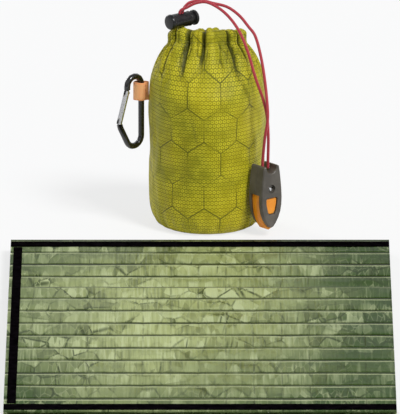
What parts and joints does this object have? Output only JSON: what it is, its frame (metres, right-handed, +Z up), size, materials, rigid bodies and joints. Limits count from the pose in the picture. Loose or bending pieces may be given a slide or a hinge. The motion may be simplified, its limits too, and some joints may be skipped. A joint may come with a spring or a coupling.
{
  "type": "emergency sleeping bag",
  "caption": "Foil emergency sleeping bag folded beside its drawcord stuff sack with cord lock, whistle on a cord and a small snap-gate carabiner.",
  "frame": {"origin": "centre of the stuff sack's base, on the floor", "axes": "+Z up; the sleeping bag lies towards -Y, its length along X"},
  "size_m": [0.304, 0.6309, 0.1898],
  "materials": {
    "foil": "creased foil film with a soft metallic sheen",
    "tape": "matte black edge tape",
    "ripstop": "yellow-green hexagon ripstop",
    "webbing": "orange woven webbing",
    "cord": "red braided cord",
    "lock": "satin black moulding",
    "steel": "bare metal",
    "carabiner": "gloss black anodised",
    "whistle_grey": "fine matte",
    "whistle_orange": "satin orange"
  },
  "bodies": {
    "bag_section_1": {"bag_film_1": "foil", "bag_tape_near_1": "tape", "bag_tape_far_1": "tape"},
    "bag_section_2": {"bag_film_2": "foil", "bag_tape_near_2": "tape", "bag_tape_far_2": "tape"},
    "bag_section_3": {"bag_film_3": "foil", "bag_tape_near_3": "tape", "bag_tape_far_3": "tape"},
    "bag_section_4": {"bag_film_4": "foil", "bag_tape_near_4": "tape", "bag_tape_far_4": "tape"},
    "bag_section_5": {"bag_film_5": "foil", "bag_tape_near_5": "tape", "bag_tape_far_5": "tape"},
    "bag_section_6": {"bag_film_6": "foil", "bag_tape_near_6": "tape", "bag_tape_far_6": "tape"},
    "bag_section_7": {"bag_film_7": "foil", "bag_tape_near_7": "tape", "bag_tape_far_7": "tape", "bag_tape_foot_near": "tape", "bag_tape_foot_far": "tape"},
    "sack": {"sack_wall": "ripstop", "sack_base": "ripstop", "sack_hem": "ripstop", "drawcord_hem_run": "cord", "webbing_loop": "webbing", "cord_lock_barrel": "lock", "cord_lock_spring": "steel", "cord_strand_inner": "cord", "cord_strand_outer": "cord"},
    "lock_plunger": {"cord_lock_plunger": "lock"},
    "carabiner": {"carabiner_body": "carabiner", "carabiner_hinge_pin": "steel"},
    "gate": {"carabiner_gate": "steel", "carabiner_nose_pin": "steel"},
    "whistle": {"whistle_core": "whistle_orange", "whistle_shell_front": "whistle_grey", "whistle_shell_back": "whistle_grey", "whistle_rivet_front": "steel", "whistle_rivet_back": "steel"}
  },
  "joints": [
    {"name": "bag_fold_1", "type": "hinge", "parent": "bag_section_1", "child": "bag_section_2", "pos_m": [-0.15784, -0.33808, 0.00165], "axis": [0, -1, 0], "range_deg": [0, 180]},
    {"name": "bag_fold_2", "type": "hinge", "parent": "bag_section_2", "child": "bag_section_3", "pos_m": [0.14644, -0.33808, 0.00345], "axis": [0, 1, 0], "range_deg": [0, 180]},
    {"name": "bag_fold_3", "type": "hinge", "parent": "bag_section_3", "child": "bag_section_4", "pos_m": [-0.15784, -0.33808, 0.00525], "axis": [0, -1, 0], "range_deg": [0, 180]},
    {"name": "bag_fold_4", "type": "hinge", "parent": "bag_section_4", "child": "bag_section_5", "pos_m": [0.14644, -0.33808, 0.00705], "axis": [0, 1, 0], "range_deg": [0, 180]},
    {"name": "bag_fold_5", "type": "hinge", "parent": "bag_section_5", "child": "bag_section_6", "pos_m": [-0.15784, -0.33808, 0.00885], "axis": [0, -1, 0], "range_deg": [0, 180]},
    {"name": "bag_fold_6", "type": "hinge", "parent": "bag_section_6", "child": "bag_section_7", "pos_m": [0.14644, -0.33808, 0.01065], "axis": [0, 1, 0], "range_deg": [0, 180]},
    {"name": "sack_lift", "type": "slide", "parent": "bag_section_1", "child": "sack", "axis": [0, 0, 1], "range_m": [0, 0.3]},
    {"name": "plunger_press", "type": "slide", "parent": "sack", "child": "lock_plunger", "axis": [-0.766, -0.6428, 0], "range_m": [0, 0.0035], "stiffness_N_per_m": 1500, "springref_m": -0.002, "deforming": ["cord_lock_spring"]},
    {"name": "carabiner_swivel", "type": "hinge", "parent": "sack", "child": "carabiner", "pos_m": [-0.0532, 0, 0.111], "axis": [0, 0, 1], "range_deg": [-120, 50]},
    {"name": "gate_open", "type": "hinge", "parent": "carabiner", "child": "gate", "pos_m": [-0.07059, -0.01566, 0.089], "axis": [-0.6691, 0.7431, 0], "range_deg": [0, 17], "stiffness_Nm_per_rad": 0.08, "springref_deg": -17.19},
    {"name": "whistle_swing", "type": "hinge", "parent": "sack", "child": "whistle", "pos_m": [0.047, -0.037, 0.0585], "axis": [0.6347, -0.7727, 0], "range_deg": [-25, 25]}
  ],
  "couplings": [
    {"joint": "bag_fold_2", "follows": "bag_fold_1", "ratio": 1},
    {"joint": "bag_fold_3", "follows": "bag_fold_1", "ratio": 1},
    {"joint": "bag_fold_4", "follows": "bag_fold_1", "ratio": 1},
    {"joint": "bag_fold_5", "follows": "bag_fold_1", "ratio": 1},
    {"joint": "bag_fold_6", "follows": "bag_fold_1", "ratio": 1}
  ]
}
